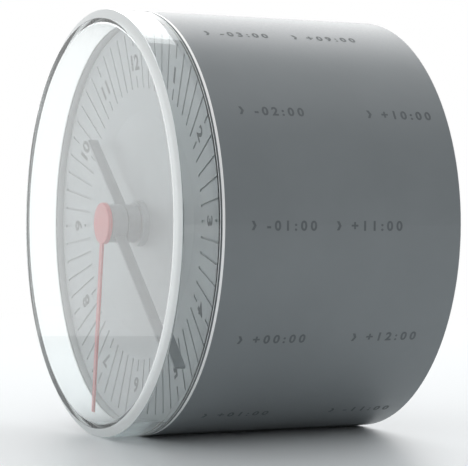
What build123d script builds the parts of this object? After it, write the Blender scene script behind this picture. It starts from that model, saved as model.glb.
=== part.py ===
"""World time clock: a drum that lies on its side, with a clear cap over a dished dial.

The drum, its cap and its dial turn as one. The movement hangs inside on two bearings, so that
its weight keeps the hands upright while the drum is rolled from one time zone to the next.
Lengths are millimetres. The drum's axis runs along Y, the dial faces -Y and +Z is up. Depths are
measured from the front of the cap, and the origin lies under the drum's middle, on the table.
"""

import math
import os
from build123d import *

os.makedirs("parts", exist_ok=True)

# Whole clock
case_radius = 50.0
case_length = 70.0

# Clearances
running_gap = 0.05
seat_gap = 0.05
thread_gap = 0.02
end_gap = 0.3

# Clear cap
pane_thickness = 2.1
cap_wall = 3.0
cap_depth = 10.0
cap_edge_chamfer = 0.35
cap_corner_radius = 0.3
spigot_wall = 1.4
spigot_length = 4.0

# Trim ring between the cap and the housing
ring_band = 0.65
ring_groove_width = 0.4
ring_groove_depth = 0.6

# Dial
dial_rim_gap = 0.1
dial_rim_drop = 1.3
dial_dish_depth = 2.4
dial_cone_width = 20.3
dial_thickness = 1.5
dial_flange_thickness = 1.5
dial_rim_wall = 1.5
dial_turn = -1.0
minute_marks = 60
marks_per_hour = 5
mark_rim_margin = 1.65
mark_run = 13.05
mark_width = 0.55
mark_depth = 0.25
outer_dash_length = 3.2
inner_dash_length = 2.7

# Housing tube
housing_wall = 3.5
rear_seat_wall = 1.8
rear_seat_length = 10.0
rear_edge_chamfer = 0.3
lug_count = 3
lug_radius = 2.8
lug_inset = 1.9
lug_first_angle = 90.0

# Front bearing in the dial
bush_boss_radius = 5.4
bush_boss_height = 1.5
bush_wall = 0.75
bush_nut_flats = 14.0
bush_nut_sides = 6
bush_nut_thickness = 1.5

# Movement carrier
journal_radius = 3.8
journal_flange_radius = 7.0
journal_flange_thickness = 1.2
journal_recess = 0.25
carrier_gap = 1.3
carrier_flat_height = 14.0
front_plate_thickness = 1.5
rear_plate_thickness = 2.0
rear_plate_rim = 3.0
pillar_radius = 2.6
pillar_height = 8.0
window_margin = 0.65
counterweight_gap = 3.0
weight_screw_share = 0.7

# Rear bearing, bridge and brake
rear_journal_radius = 4.0
rear_bush_wall = 0.95
rear_bush_flange_radius = 7.0
rear_bush_flange_thickness = 1.2
brake_washer_radius = 6.5
brake_washer_thickness = 1.5
bridge_thickness = 2.5
bridge_ring_width = 5.6
bridge_arm_width = 8.0
bridge_hub_radius = 9.0

# Rear cover and setting knob
cover_rim_wall = 2.9
cover_plate_thickness = 2.0
cover_recess = 1.5
cover_edge_chamfer = 0.5
knob_radius = 12.4
knob_side_gap = 0.6
knob_recess = 0.5
knob_hub_radius = 4.0
knob_plate_thickness = 3.0
knob_bar_width = 3.2
knob_bar_height = 1.5
knob_bar_length = 20.0
knob_flute_count = 24
knob_flute_radius = 0.7

# Screws
cover_screw_radius = 1.2
cover_screw_bite = 8.0
cover_head_radius = 2.2
cover_head_height = 1.3
small_screw_radius = 1.0
small_screw_bite = 5.0
small_head_radius = 1.9
small_head_height = 1.1
screw_slot_width = 0.5
screw_slot_depth = 0.5

# Movement module, held behind the front plate
module_inner_gap = 2.2
module_corner = 4.0
module_wall = 1.5
train_plate_thickness = 1.0
module_post_radius = 2.2
module_post_inset = 3.0

# Wheel layers: every wheel has the same thickness and the same gap to the next layer
wheel_thickness = 0.9
layer_gap = 0.4
rotor_magnet_radius = 2.5
rotor_magnet_length = 1.8
stator_thickness = 0.8

# Distances between the axes of the wheels that mesh
third_distance = 10.8
motion_distance = 11.0
step_distance = 7.2
rotor_distance = 5.88

# Angle of each of those lines, counter-clockwise from +X as seen from the front
third_direction = 135.0
motion_direction = -30.0
step_direction = 60.0
rotor_direction = 45.0

# Tooth counts
rotor_pinion_teeth = 6
step_wheel_teeth = 36
step_pinion_teeth = 8
second_wheel_teeth = 40
second_pinion_teeth = 8
third_wheel_teeth = 64
third_pinion_teeth = 8
minute_wheel_teeth = 60
cannon_pinion_teeth = 12
motion_wheel_teeth = 36
motion_pinion_teeth = 10
hour_wheel_teeth = 40
setting_pinion_teeth = 12
setting_wheel_teeth = 30

# Tooth form, in shares of the module and of the pitch between teeth
tip_height_share = 0.85
root_depth_share = 1.25
tip_half_width_share = 0.11
root_half_width_share = 0.26

# Arbors and pipes
second_arbor_radius = 0.8
pipe_wall = 0.75
arbor_radius = 0.6
pivot_radius = 0.4
setting_arbor_radius = 1.7

# Hands
hub_radius = 4.5
hand_pane_gap = 1.5
second_disc_radius = 4.9
second_disc_thickness = 1.0
second_disc_chamfer = 0.2
second_cap_thickness = 0.3
second_hand_rim_gap = 1.7
second_root_width = 1.7
second_tip_width = 1.1
second_hand_thickness = 0.5
minute_hub_length = 3.7
minute_hand_rim_gap = 1.1
minute_blade_depth = 2.6
hour_hand_mark_gap = 1.2
blade_width = 0.6
blade_margin = 0.2
second_hand_angle = 187.6
minute_hand_angle = 132.0
hour_hand_angle = 311.0

# Motor coil and circuit board
coil_end_gap = 1.0
coil_stator_gap = 1.1
coil_radius = 2.6
bobbin_tube_wall = 0.35
bobbin_flange_thickness = 0.6
bobbin_flange_radius = 2.8
core_width = 3.0
stator_leg_width = 3.0
stator_left_reach = 11.76
stator_right_reach = 11.24
stator_bar_height = 6.4
rotor_hole_gap = 0.4
board_width = 18.0
board_height = 16.0
board_inset = 1.5
board_thickness = 1.0

# Battery and its tray
battery_radius = 5.25
battery_length = 43.7
battery_nub_radius = 1.9
battery_nub_length = 0.8
tray_wall = 1.5
tray_floor = 1.0
tray_side_gap = 0.1
tray_lip = 2.0
contact_thickness = 0.4
contact_width = 7.0
plus_boss_radius = 1.6
plus_boss_length = 1.3
minus_spring_radius = 3.0
minus_spring_tip_radius = 1.8
minus_spring_length = 2.4

# Places that follow from the sizes above
front_y = -case_length / 2
axis_height = case_radius
cap_inner_radius = case_radius - cap_wall
spigot_radius = cap_inner_radius + spigot_wall
spigot_end = cap_depth + spigot_length
ring_front = cap_depth + ring_groove_width
tube_front = ring_front + ring_band
front_seat_radius = spigot_radius + seat_gap
dial_seat = spigot_end + dial_flange_thickness
bore_radius = case_radius - housing_wall
rear_seat_radius = case_radius - rear_seat_wall
rear_seat_depth = case_length - rear_seat_length
lug_circle_radius = bore_radius - lug_inset
lug_angles = [lug_first_angle + 360 / lug_count * lug for lug in range(lug_count)]

dial_rim_radius = cap_inner_radius - dial_rim_gap
dial_rim_depth = cap_depth + dial_rim_drop
dial_centre_radius = dial_rim_radius - dial_cone_width
dial_centre_depth = dial_rim_depth + dial_dish_depth
dial_back = dial_centre_depth + dial_thickness
dial_slope = dial_dish_depth / dial_cone_width
dial_step_radius = dial_rim_radius - dial_rim_wall
dial_step_depth = dial_rim_depth + dial_rim_wall * dial_slope + dial_thickness
mark_outer_radius = dial_rim_radius - mark_rim_margin
mark_inner_radius = mark_outer_radius - mark_run

bush_front = dial_centre_depth - bush_boss_height
journal_front = bush_front + journal_recess
bush_bore_radius = journal_radius + running_gap
bush_sleeve_radius = bush_bore_radius + bush_wall
bush_end = dial_back + bush_nut_thickness
journal_shoulder = bush_end + end_gap
front_plate_front = journal_shoulder + journal_flange_thickness
front_plate_back = front_plate_front + front_plate_thickness

layer_pitch = wheel_thickness + layer_gap
module_front = front_plate_back
hour_layer = module_front + module_wall + layer_gap
cannon_layer = hour_layer + layer_pitch
minute_layer = cannon_layer + layer_pitch
train_plate_front = minute_layer + layer_pitch
train_plate_back = train_plate_front + train_plate_thickness
third_layer = train_plate_back + layer_gap
second_layer = third_layer + layer_pitch
step_layer = second_layer + layer_pitch
magnet_front = step_layer + layer_pitch
stator_front = magnet_front + (rotor_magnet_length - stator_thickness) / 2
setting_layer = stator_front + stator_thickness + layer_gap
core_front = stator_front - stator_thickness
core_middle = core_front + stator_thickness / 2
module_back_inside = core_middle + bobbin_flange_radius + end_gap
module_back = module_back_inside + module_wall

second_bore_radius = second_arbor_radius + running_gap
minute_pipe_radius = second_bore_radius + pipe_wall
hour_bore_radius = minute_pipe_radius + running_gap
hour_pipe_radius = hour_bore_radius + pipe_wall
journal_bore_radius = hour_pipe_radius + running_gap

second_disc_depth = pane_thickness + hand_pane_gap
second_disc_back = second_disc_depth + second_disc_thickness
minute_hub_front = second_disc_back + end_gap
minute_hub_back = minute_hub_front + minute_hub_length
hour_hub_front = minute_hub_back + end_gap
hour_hub_length = bush_front - end_gap - hour_hub_front
hour_blade_depth = hour_hub_length - 2 * blade_margin
second_hand_length = dial_rim_radius - second_hand_rim_gap
minute_hand_length = dial_rim_radius - minute_hand_rim_gap
hour_hand_length = mark_inner_radius - hour_hand_mark_gap

rear_bush_bore = rear_journal_radius + running_gap
rear_bush_radius = rear_bush_bore + rear_bush_wall
rear_bush_front = rear_seat_depth - rear_bush_flange_thickness
brake_washer_front = rear_bush_front - brake_washer_thickness
rear_plate_back = brake_washer_front - end_gap
rear_plate_depth = rear_plate_back - rear_plate_thickness
bridge_back = rear_seat_depth + bridge_thickness
bridge_radius = rear_seat_radius - seat_gap
rear_journal_end = bridge_back + end_gap
cover_back = case_length - cover_recess
cover_plate_front = cover_back - cover_plate_thickness
cover_hole_radius = knob_radius + knob_side_gap
knob_back = cover_back - knob_recess
knob_front = knob_back - knob_plate_thickness
knob_hub_front = rear_journal_end + end_gap
knob_hub_length = knob_front - knob_hub_front

spin_axis = Axis((0, front_y, axis_height), (0, 1, 0))
section = Plane(origin=(0, front_y, axis_height), x_dir=(1, 0, 0), z_dir=(0, 0, 1))


def station(depth, place=(0, 0)):
    """Plane square to the drum's axis at a depth, seen from the front, so backwards is negative."""
    x, z = place
    return Plane(origin=(x, front_y + depth, axis_height + z), x_dir=(1, 0, 0), z_dir=(0, -1, 0))


def polar(radius, degrees):
    """Point at a radius and an angle, counter-clockwise from +X as seen from the front."""
    return (radius * math.cos(math.radians(degrees)), radius * math.sin(math.radians(degrees)))


def clock_point(clock_angle, along, side=0):
    """Point along a hand's line, with the hand's angle counted clockwise from twelve."""
    angle = math.radians(clock_angle)
    x = along * math.sin(angle) + side * math.cos(angle)
    return (x, along * math.cos(angle) - side * math.sin(angle))


def tooth_points(teeth, centre_distance, mating_teeth, phase):
    """Outline of a toothed wheel, four points to a tooth, with a tooth's middle at the phase."""
    module = 2 * centre_distance / (teeth + mating_teeth)
    tip = module * (teeth / 2 + tip_height_share)
    root = module * (teeth / 2 - root_depth_share)
    pitch = 360 / teeth
    corners = (
        (-root_half_width_share, root),
        (-tip_half_width_share, tip),
        (tip_half_width_share, tip),
        (root_half_width_share, root),
    )
    return [
        polar(radius, phase + pitch * (tooth + share))
        for tooth in range(teeth)
        for share, radius in corners
    ]


def facing_gap(direction, teeth):
    """Phase that turns a gap between two teeth towards the wheel that it meshes with."""
    return direction + 180 + 180 / teeth


def mesh(distance, direction, near_teeth, far_teeth):
    """Outlines of two wheels, the far one lying in the direction with a gap facing the near tooth."""
    near = tooth_points(near_teeth, distance, far_teeth, direction)
    far = tooth_points(far_teeth, distance, near_teeth, facing_gap(direction, far_teeth))
    return near, far


def save(piece, name):
    """Label a finished piece and write it to its own file."""
    piece.part.label = name
    export_step(piece.part, f"parts/{name}.step")


# Places of the wheels, and the outlines of each pair that meshes
third_place = polar(third_distance, third_direction)
motion_place = polar(motion_distance, motion_direction)
step_place = polar(step_distance, step_direction)
rotor_step = polar(rotor_distance, rotor_direction)
rotor_x = step_place[0] + rotor_step[0]
rotor_z = step_place[1] + rotor_step[1]
rotor_place = (rotor_x, rotor_z)

step_wheel_outline, rotor_pinion_outline = mesh(
    rotor_distance, rotor_direction, step_wheel_teeth, rotor_pinion_teeth
)
second_wheel_outline, step_pinion_outline = mesh(
    step_distance, step_direction, second_wheel_teeth, step_pinion_teeth
)
second_pinion_outline, third_wheel_outline = mesh(
    third_distance, third_direction, second_pinion_teeth, third_wheel_teeth
)
minute_wheel_outline, third_pinion_outline = mesh(
    third_distance, third_direction, minute_wheel_teeth, third_pinion_teeth
)
cannon_pinion_outline, motion_wheel_outline = mesh(
    motion_distance, motion_direction, cannon_pinion_teeth, motion_wheel_teeth
)
hour_wheel_outline, motion_pinion_outline = mesh(
    motion_distance, motion_direction, hour_wheel_teeth, motion_pinion_teeth
)
setting_pinion_outline, setting_wheel_outline = mesh(
    motion_distance, motion_direction, setting_pinion_teeth, setting_wheel_teeth
)

# The coil lies above the rotor, and the module's case is as wide as the coil is high in it
stator_left = rotor_x - stator_left_reach
stator_right = rotor_x + stator_right_reach
stator_width = stator_right - stator_left
stator_bottom = rotor_z - stator_bar_height / 2
coil_left = stator_left + stator_leg_width + coil_end_gap
coil_length = stator_right - stator_leg_width - coil_end_gap - coil_left
coil_height = rotor_z + stator_bar_height / 2 + coil_stator_gap + bobbin_flange_radius
leg_height = coil_height + core_width / 2 - stator_bottom
module_size = 2 * (coil_height + bobbin_flange_radius + module_inner_gap + module_wall)
module_inside = module_size - 2 * module_wall
module_inside_corner = module_corner - module_wall
post_place = module_size / 2 - module_post_inset
lower_post_places = [(-post_place, -post_place), (post_place, -post_place)]
upper_post_places = [(-post_place, post_place), (post_place, post_place)]
post_places = lower_post_places + upper_post_places
board_side = module_inside / 2 - board_inset - board_width / 2
board_drop = module_inside / 2 - board_inset - board_height / 2

# The tray lies behind the module, below the rear bearing, and the weight below both
battery_depth = module_back + tray_floor + tray_side_gap + battery_radius
battery_left = -(battery_length + battery_nub_length) / 2 + (minus_spring_length - plus_boss_length) / 2
battery_right = battery_left + battery_length
tray_left = battery_left - minus_spring_length - contact_thickness
tray_right = battery_right + battery_nub_length + plus_boss_length + contact_thickness
tray_middle = (tray_left + tray_right) / 2
tray_length = tray_right - tray_left + 2 * tray_wall
tray_height = 2 * (battery_radius + tray_side_gap + tray_wall)
tray_depth = battery_depth + tray_lip - module_back
window_width = tray_length + 2 * window_margin
window_height = tray_height + 2 * window_margin
battery_drop = brake_washer_radius + window_height / 2

carrier_radius = lug_circle_radius - lug_radius - carrier_gap
counterweight_top = module_size / 2 + counterweight_gap
weight_screw_drop = (counterweight_top + carrier_radius) / 2
weight_screw_side = weight_screw_share * math.sqrt(carrier_radius**2 - weight_screw_drop**2)
weight_places = [(-weight_screw_side, -weight_screw_drop), (weight_screw_side, -weight_screw_drop)]
pillar_side = (module_size / 2 + carrier_radius) / 2
pillar_places = [(-pillar_side, pillar_height), (pillar_side, pillar_height)]
carrier_screw_places = pillar_places + weight_places

# Clear cap: a pane with a deep wall, and a thinner spigot that enters the housing
with BuildPart() as front_cap:
    with BuildSketch(section):
        with BuildLine():
            Polyline(
                (0, 0),
                (case_radius - cap_edge_chamfer, 0),
                (case_radius, cap_edge_chamfer),
                (case_radius, cap_depth),
                (spigot_radius, cap_depth),
                (spigot_radius, spigot_end),
                (cap_inner_radius, spigot_end),
                (cap_inner_radius, pane_thickness),
                (0, pane_thickness),
                close=True,
            )
        make_face()
        inner_corner = (cap_inner_radius, front_y + pane_thickness, axis_height)
        fillet(vertices().sort_by_distance(inner_corner)[0], radius=cap_corner_radius)
    revolve(axis=spin_axis)
save(front_cap, "front_cap")

# Trim ring: a bright band with a shadow groove in front of it
with BuildPart() as trim_ring:
    with BuildSketch(station(cap_depth)):
        Circle(case_radius - ring_groove_depth)
        Circle(front_seat_radius, mode=Mode.SUBTRACT)
    extrude(amount=-ring_groove_width)
    with BuildSketch(station(ring_front)):
        Circle(case_radius)
        Circle(front_seat_radius, mode=Mode.SUBTRACT)
    extrude(amount=-ring_band)
save(trim_ring, "trim_ring")

# Housing tube: seats for the dial and the bridge at its ends, screw lugs along its bore
with BuildPart() as housing_tube:
    with BuildSketch(section):
        with BuildLine():
            Polyline(
                (front_seat_radius, tube_front),
                (case_radius, tube_front),
                (case_radius, case_length - rear_edge_chamfer),
                (case_radius - rear_edge_chamfer, case_length),
                (rear_seat_radius, case_length),
                (rear_seat_radius, rear_seat_depth),
                (bore_radius, rear_seat_depth),
                (bore_radius, dial_seat),
                (front_seat_radius, dial_seat),
                close=True,
            )
        make_face()
    revolve(axis=spin_axis)
    with BuildSketch(station(dial_seat)):
        with PolarLocations(lug_circle_radius, lug_count, lug_first_angle):
            Circle(lug_radius)
    extrude(amount=dial_seat - rear_seat_depth)
    with BuildSketch(station(rear_seat_depth)):
        with PolarLocations(lug_circle_radius, lug_count, lug_first_angle):
            Circle(cover_screw_radius + thread_gap)
    extrude(amount=cover_screw_bite, mode=Mode.SUBTRACT)
save(housing_tube, "housing_tube")

# One minute mark and the two dashes of an hour mark, as cutters at twelve o'clock
mark_middle = (mark_outer_radius + mark_inner_radius) / 2
mark_middle_depth = dial_rim_depth + (dial_rim_radius - mark_middle) * dial_slope
mark_length = mark_run * math.hypot(1, dial_slope)
mark_plane = Plane(
    origin=(0, front_y + mark_middle_depth, axis_height + mark_middle),
    x_dir=(1, 0, 0),
    z_dir=(0, -1, -dial_slope),
)

with BuildPart() as minute_mark:
    with BuildSketch(mark_plane):
        Rectangle(mark_width, mark_length)
    extrude(amount=mark_depth, both=True)

with BuildPart() as hour_mark:
    with BuildSketch(mark_plane):
        with Locations((0, (mark_length - outer_dash_length) / 2)):
            Rectangle(mark_width, outer_dash_length)
        with Locations((0, (inner_dash_length - mark_length) / 2)):
            Rectangle(mark_width, inner_dash_length)
    extrude(amount=mark_depth, both=True)

# Dial: a flat centre in a shallow cone, with engraved marks, held by its flange
with BuildPart() as dial:
    with BuildSketch(section):
        with BuildLine():
            Polyline(
                (bush_sleeve_radius + seat_gap, dial_centre_depth),
                (dial_centre_radius, dial_centre_depth),
                (dial_rim_radius, dial_rim_depth),
                (dial_rim_radius, spigot_end),
                (spigot_radius, spigot_end),
                (spigot_radius, dial_seat),
                (dial_step_radius, dial_seat),
                (dial_step_radius, dial_step_depth),
                (dial_centre_radius, dial_back),
                (bush_sleeve_radius + seat_gap, dial_back),
                close=True,
            )
        make_face()
    revolve(axis=spin_axis)
    cutters = []
    for mark in range(minute_marks):
        cutter = hour_mark if mark % marks_per_hour == 0 else minute_mark
        cutters.append(cutter.part.rotate(spin_axis, 360 / minute_marks * mark + dial_turn))
    add(cutters, mode=Mode.SUBTRACT)
save(dial, "dial")

# Front bearing: a flanged bush through the dial, and the nut that holds it
with BuildPart() as dial_bush:
    with BuildSketch(station(bush_front)):
        Circle(bush_boss_radius)
        Circle(bush_bore_radius, mode=Mode.SUBTRACT)
    extrude(amount=-bush_boss_height)
    with BuildSketch(station(dial_centre_depth)):
        Circle(bush_sleeve_radius)
        Circle(bush_bore_radius, mode=Mode.SUBTRACT)
    extrude(amount=dial_centre_depth - bush_end)
save(dial_bush, "dial_bush")

with BuildPart() as dial_bush_nut:
    with BuildSketch(station(dial_back)):
        RegularPolygon(bush_nut_flats / 2, bush_nut_sides, major_radius=False)
        Circle(bush_sleeve_radius + thread_gap, mode=Mode.SUBTRACT)
    extrude(amount=-bush_nut_thickness)
save(dial_bush_nut, "dial_bush_nut")

# Rear bridge: a ring on the housing's rear seat with three arms to the bearing
with BuildPart() as rear_bridge:
    with BuildSketch(station(rear_seat_depth)):
        Circle(bridge_radius)
        Circle(bridge_radius - bridge_ring_width, mode=Mode.SUBTRACT)
        for angle in lug_angles:
            with Locations(Location((0, 0), angle)):
                Rectangle(lug_circle_radius, bridge_arm_width, align=(Align.MIN, Align.CENTER))
        Circle(bridge_hub_radius)
        Circle(rear_bush_radius + seat_gap, mode=Mode.SUBTRACT)
        with PolarLocations(lug_circle_radius, lug_count, lug_first_angle):
            Circle(cover_screw_radius + seat_gap, mode=Mode.SUBTRACT)
    extrude(amount=-bridge_thickness)
save(rear_bridge, "rear_bridge")

with BuildPart() as rear_bush:
    with BuildSketch(station(rear_bush_front)):
        Circle(rear_bush_flange_radius)
        Circle(rear_bush_bore, mode=Mode.SUBTRACT)
    extrude(amount=-rear_bush_flange_thickness)
    with BuildSketch(station(rear_seat_depth)):
        Circle(rear_bush_radius)
        Circle(rear_bush_bore, mode=Mode.SUBTRACT)
    extrude(amount=-bridge_thickness)
save(rear_bush, "rear_bush")

# Brake washer: felt that rubs on the carrier, so that the drum stays where it is rolled to
with BuildPart() as brake_washer:
    with BuildSketch(station(brake_washer_front)):
        Circle(brake_washer_radius)
        Circle(rear_bush_bore, mode=Mode.SUBTRACT)
    extrude(amount=-brake_washer_thickness)
save(brake_washer, "brake_washer")

# Rear cover: a recessed plate on a rim, with a round opening for the setting knob
with BuildPart() as rear_cover:
    with BuildSketch(station(cover_back)):
        Circle(bridge_radius)
    extrude(amount=cover_back - bridge_back)
    chamfer(edges().group_by(Axis.Y)[-1], length=cover_edge_chamfer)
    with BuildSketch(station(bridge_back)):
        Circle(bridge_radius - cover_rim_wall)
        with PolarLocations(lug_circle_radius, lug_count, lug_first_angle):
            Circle(lug_radius, mode=Mode.SUBTRACT)
    extrude(amount=bridge_back - cover_plate_front, mode=Mode.SUBTRACT)
    with BuildSketch(station(cover_back)):
        Circle(cover_hole_radius)
        with PolarLocations(lug_circle_radius, lug_count, lug_first_angle):
            Circle(cover_screw_radius + seat_gap)
    extrude(amount=cover_back - bridge_back, mode=Mode.SUBTRACT)
    with BuildSketch(station(cover_back)):
        with PolarLocations(lug_circle_radius, lug_count, lug_first_angle):
            Circle(cover_head_radius + seat_gap)
    extrude(amount=cover_head_height, mode=Mode.SUBTRACT)
save(rear_cover, "rear_cover")

# Long screws that hold the cover and the bridge to the housing's lugs
with BuildPart() as cover_screws:
    with BuildSketch(station(cover_back)):
        with PolarLocations(lug_circle_radius, lug_count, lug_first_angle):
            Circle(cover_head_radius)
    extrude(amount=cover_head_height)
    with BuildSketch(station(cover_back - cover_head_height)):
        with PolarLocations(lug_circle_radius, lug_count, lug_first_angle):
            Circle(cover_screw_radius)
    extrude(amount=cover_back - cover_head_height - rear_seat_depth + cover_screw_bite)
    with BuildSketch(station(cover_back)):
        with PolarLocations(lug_circle_radius, lug_count, lug_first_angle):
            Rectangle(2 * cover_head_radius, screw_slot_width)
            Rectangle(screw_slot_width, 2 * cover_head_radius)
    extrude(amount=screw_slot_depth, mode=Mode.SUBTRACT)
save(cover_screws, "cover_screws")

# Front journal: the hollow shaft that the movement hangs on
with BuildPart() as front_journal:
    with BuildSketch(station(journal_front)):
        Circle(journal_radius)
    extrude(amount=journal_front - front_plate_back)
    with BuildSketch(station(journal_shoulder)):
        Circle(journal_flange_radius)
    extrude(amount=-journal_flange_thickness)
    with BuildSketch(station(journal_front)):
        Circle(journal_bore_radius)
    extrude(amount=journal_front - front_plate_back, mode=Mode.SUBTRACT)
save(front_journal, "front_journal")

# Carrier plates: discs with a flat top, so that the weight lies low
with BuildPart() as carrier_front_plate:
    with BuildSketch(station(front_plate_front)):
        Circle(carrier_radius)
        with Locations((0, carrier_flat_height + carrier_radius)):
            Rectangle(2 * carrier_radius, 2 * carrier_radius, mode=Mode.SUBTRACT)
        Circle(journal_radius + seat_gap, mode=Mode.SUBTRACT)
        with Locations(*carrier_screw_places, *lower_post_places):
            Circle(small_screw_radius + seat_gap, mode=Mode.SUBTRACT)
    extrude(amount=-front_plate_thickness)
save(carrier_front_plate, "carrier_front_plate")

with BuildPart() as carrier_rear_plate:
    with BuildSketch(station(rear_plate_depth)):
        Circle(carrier_radius)
        with Locations((0, carrier_flat_height + carrier_radius)):
            Rectangle(2 * carrier_radius, 2 * carrier_radius, mode=Mode.SUBTRACT)
        with Locations(*carrier_screw_places):
            Circle(small_screw_radius + seat_gap, mode=Mode.SUBTRACT)
    extrude(amount=-rear_plate_thickness)
    with BuildSketch(station(rear_plate_depth)):
        with Locations((tray_middle, -battery_drop)):
            Rectangle(window_width, window_height)
        Circle(carrier_radius - rear_plate_rim, mode=Mode.INTERSECT)
    extrude(amount=-rear_plate_thickness, mode=Mode.SUBTRACT)
    with BuildSketch(station(rear_plate_back)):
        Circle(rear_journal_radius)
    extrude(amount=rear_plate_back - rear_journal_end)
    with BuildSketch(station(rear_plate_depth)):
        Circle(setting_arbor_radius + running_gap)
    extrude(amount=rear_plate_depth - rear_journal_end, mode=Mode.SUBTRACT)
save(carrier_rear_plate, "carrier_rear_plate")

with BuildPart() as carrier_pillars:
    with BuildSketch(station(front_plate_back)):
        with Locations(*pillar_places):
            Circle(pillar_radius)
    extrude(amount=front_plate_back - rear_plate_depth)
    with BuildSketch(station(front_plate_back), station(rear_plate_depth - small_screw_bite)):
        with Locations(*pillar_places):
            Circle(small_screw_radius + thread_gap)
    extrude(amount=-small_screw_bite, mode=Mode.SUBTRACT)
save(carrier_pillars, "carrier_pillars")

# Counterweight: a cast segment between the plates, below the movement
with BuildPart() as counterweight:
    with BuildSketch(station(front_plate_back)):
        Circle(carrier_radius)
        with Locations((0, carrier_radius - counterweight_top)):
            Rectangle(2 * carrier_radius, 2 * carrier_radius, mode=Mode.SUBTRACT)
    extrude(amount=front_plate_back - rear_plate_depth)
    with BuildSketch(station(front_plate_back), station(rear_plate_depth - small_screw_bite)):
        with Locations(*weight_places):
            Circle(small_screw_radius + thread_gap)
    extrude(amount=-small_screw_bite, mode=Mode.SUBTRACT)
save(counterweight, "counterweight")

# Screws through the carrier's plates, with their heads outside
with BuildPart() as carrier_screws:
    with BuildSketch(station(front_plate_front), station(rear_plate_back + small_head_height)):
        with Locations(*carrier_screw_places):
            Circle(small_head_radius)
    extrude(amount=small_head_height)
    with BuildSketch(station(front_plate_front)):
        with Locations(*carrier_screw_places):
            Circle(small_screw_radius)
    extrude(amount=-front_plate_thickness - small_screw_bite)
    with BuildSketch(station(rear_plate_back)):
        with Locations(*carrier_screw_places):
            Circle(small_screw_radius)
    extrude(amount=rear_plate_thickness + small_screw_bite)
save(carrier_screws, "carrier_screws")

# Movement case: a front tray, a train plate and a rear tray, clamped by four long screws, of
# which the lower two also hold the front plate
with BuildPart() as movement_front:
    with BuildSketch(station(module_front)):
        RectangleRounded(module_size, module_size, module_corner)
    extrude(amount=module_front - train_plate_front)
    with BuildSketch(station(module_front + module_wall)):
        RectangleRounded(module_inside, module_inside, module_inside_corner)
        with Locations(*post_places):
            Circle(module_post_radius, mode=Mode.SUBTRACT)
    extrude(amount=module_front + module_wall - train_plate_front, mode=Mode.SUBTRACT)
    with BuildSketch(station(module_front)):
        Circle(hour_pipe_radius + running_gap)
        with Locations(*post_places):
            Circle(small_screw_radius + seat_gap)
        with Locations(third_place, motion_place):
            Circle(pivot_radius + running_gap)
    extrude(amount=module_front - train_plate_front, mode=Mode.SUBTRACT)
save(movement_front, "movement_front")

with BuildPart() as train_plate:
    with BuildSketch(station(train_plate_front)):
        RectangleRounded(module_size, module_size, module_corner)
        Circle(second_arbor_radius + running_gap, mode=Mode.SUBTRACT)
        with Locations(third_place, motion_place):
            Circle(arbor_radius + running_gap, mode=Mode.SUBTRACT)
        with Locations(step_place, rotor_place):
            Circle(pivot_radius + running_gap, mode=Mode.SUBTRACT)
        with Locations(*post_places):
            Circle(small_screw_radius + seat_gap, mode=Mode.SUBTRACT)
    extrude(amount=-train_plate_thickness)
save(train_plate, "train_plate")

with BuildPart() as movement_rear:
    with BuildSketch(station(train_plate_back)):
        RectangleRounded(module_size, module_size, module_corner)
    extrude(amount=train_plate_back - module_back)
    with BuildSketch(station(train_plate_back)):
        RectangleRounded(module_inside, module_inside, module_inside_corner)
        with Locations(*post_places):
            Circle(module_post_radius, mode=Mode.SUBTRACT)
    extrude(amount=train_plate_back - module_back_inside, mode=Mode.SUBTRACT)
    with BuildSketch(station(train_plate_back)):
        Circle(setting_arbor_radius + running_gap)
        with Locations(*post_places):
            Circle(small_screw_radius + seat_gap)
        with Locations(third_place, motion_place, step_place, rotor_place):
            Circle(pivot_radius + running_gap)
    extrude(amount=train_plate_back - module_back, mode=Mode.SUBTRACT)
    with BuildSketch(station(module_back)):
        with Locations(*post_places):
            Circle(small_head_radius + seat_gap)
    extrude(amount=small_head_height, mode=Mode.SUBTRACT)
save(movement_rear, "movement_rear")

# Their heads lie flush in the back of the case, clear of the battery's tray
with BuildPart() as movement_screws:
    with BuildSketch(station(module_back)):
        with Locations(*post_places):
            Circle(small_head_radius)
    extrude(amount=small_head_height)
    with BuildSketch(station(module_back)):
        with Locations(*post_places):
            Circle(small_screw_radius)
    extrude(amount=module_back - module_front)
    with BuildSketch(station(module_front)):
        with Locations(*lower_post_places):
            Circle(small_screw_radius)
    extrude(amount=front_plate_thickness)
save(movement_screws, "movement_screws")

# Motor: stator, core, bobbin and winding
with BuildPart() as stator:
    with BuildSketch(station(stator_front)):
        with Locations((stator_left, stator_bottom)):
            Rectangle(stator_width, stator_bar_height, align=(Align.MIN, Align.MIN))
            Rectangle(stator_leg_width, leg_height, align=(Align.MIN, Align.MIN))
        with Locations((stator_right, stator_bottom)):
            Rectangle(stator_leg_width, leg_height, align=(Align.MAX, Align.MIN))
        with Locations(rotor_place):
            Circle(rotor_magnet_radius + rotor_hole_gap, mode=Mode.SUBTRACT)
    extrude(amount=-stator_thickness)
save(stator, "stator")

with BuildPart() as coil_core:
    with BuildSketch(station(core_front)):
        with Locations((stator_left, coil_height)):
            Rectangle(stator_width, core_width, align=(Align.MIN, Align.CENTER))
    extrude(amount=-stator_thickness)
save(coil_core, "coil_core")

bobbin_bore_radius = math.hypot(core_width, stator_thickness) / 2 + seat_gap
bobbin_tube_radius = bobbin_bore_radius + bobbin_tube_wall
coil_end = Plane(
    origin=(coil_left, front_y + core_middle, axis_height + coil_height),
    x_dir=(0, 1, 0),
    z_dir=(1, 0, 0),
)

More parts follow.
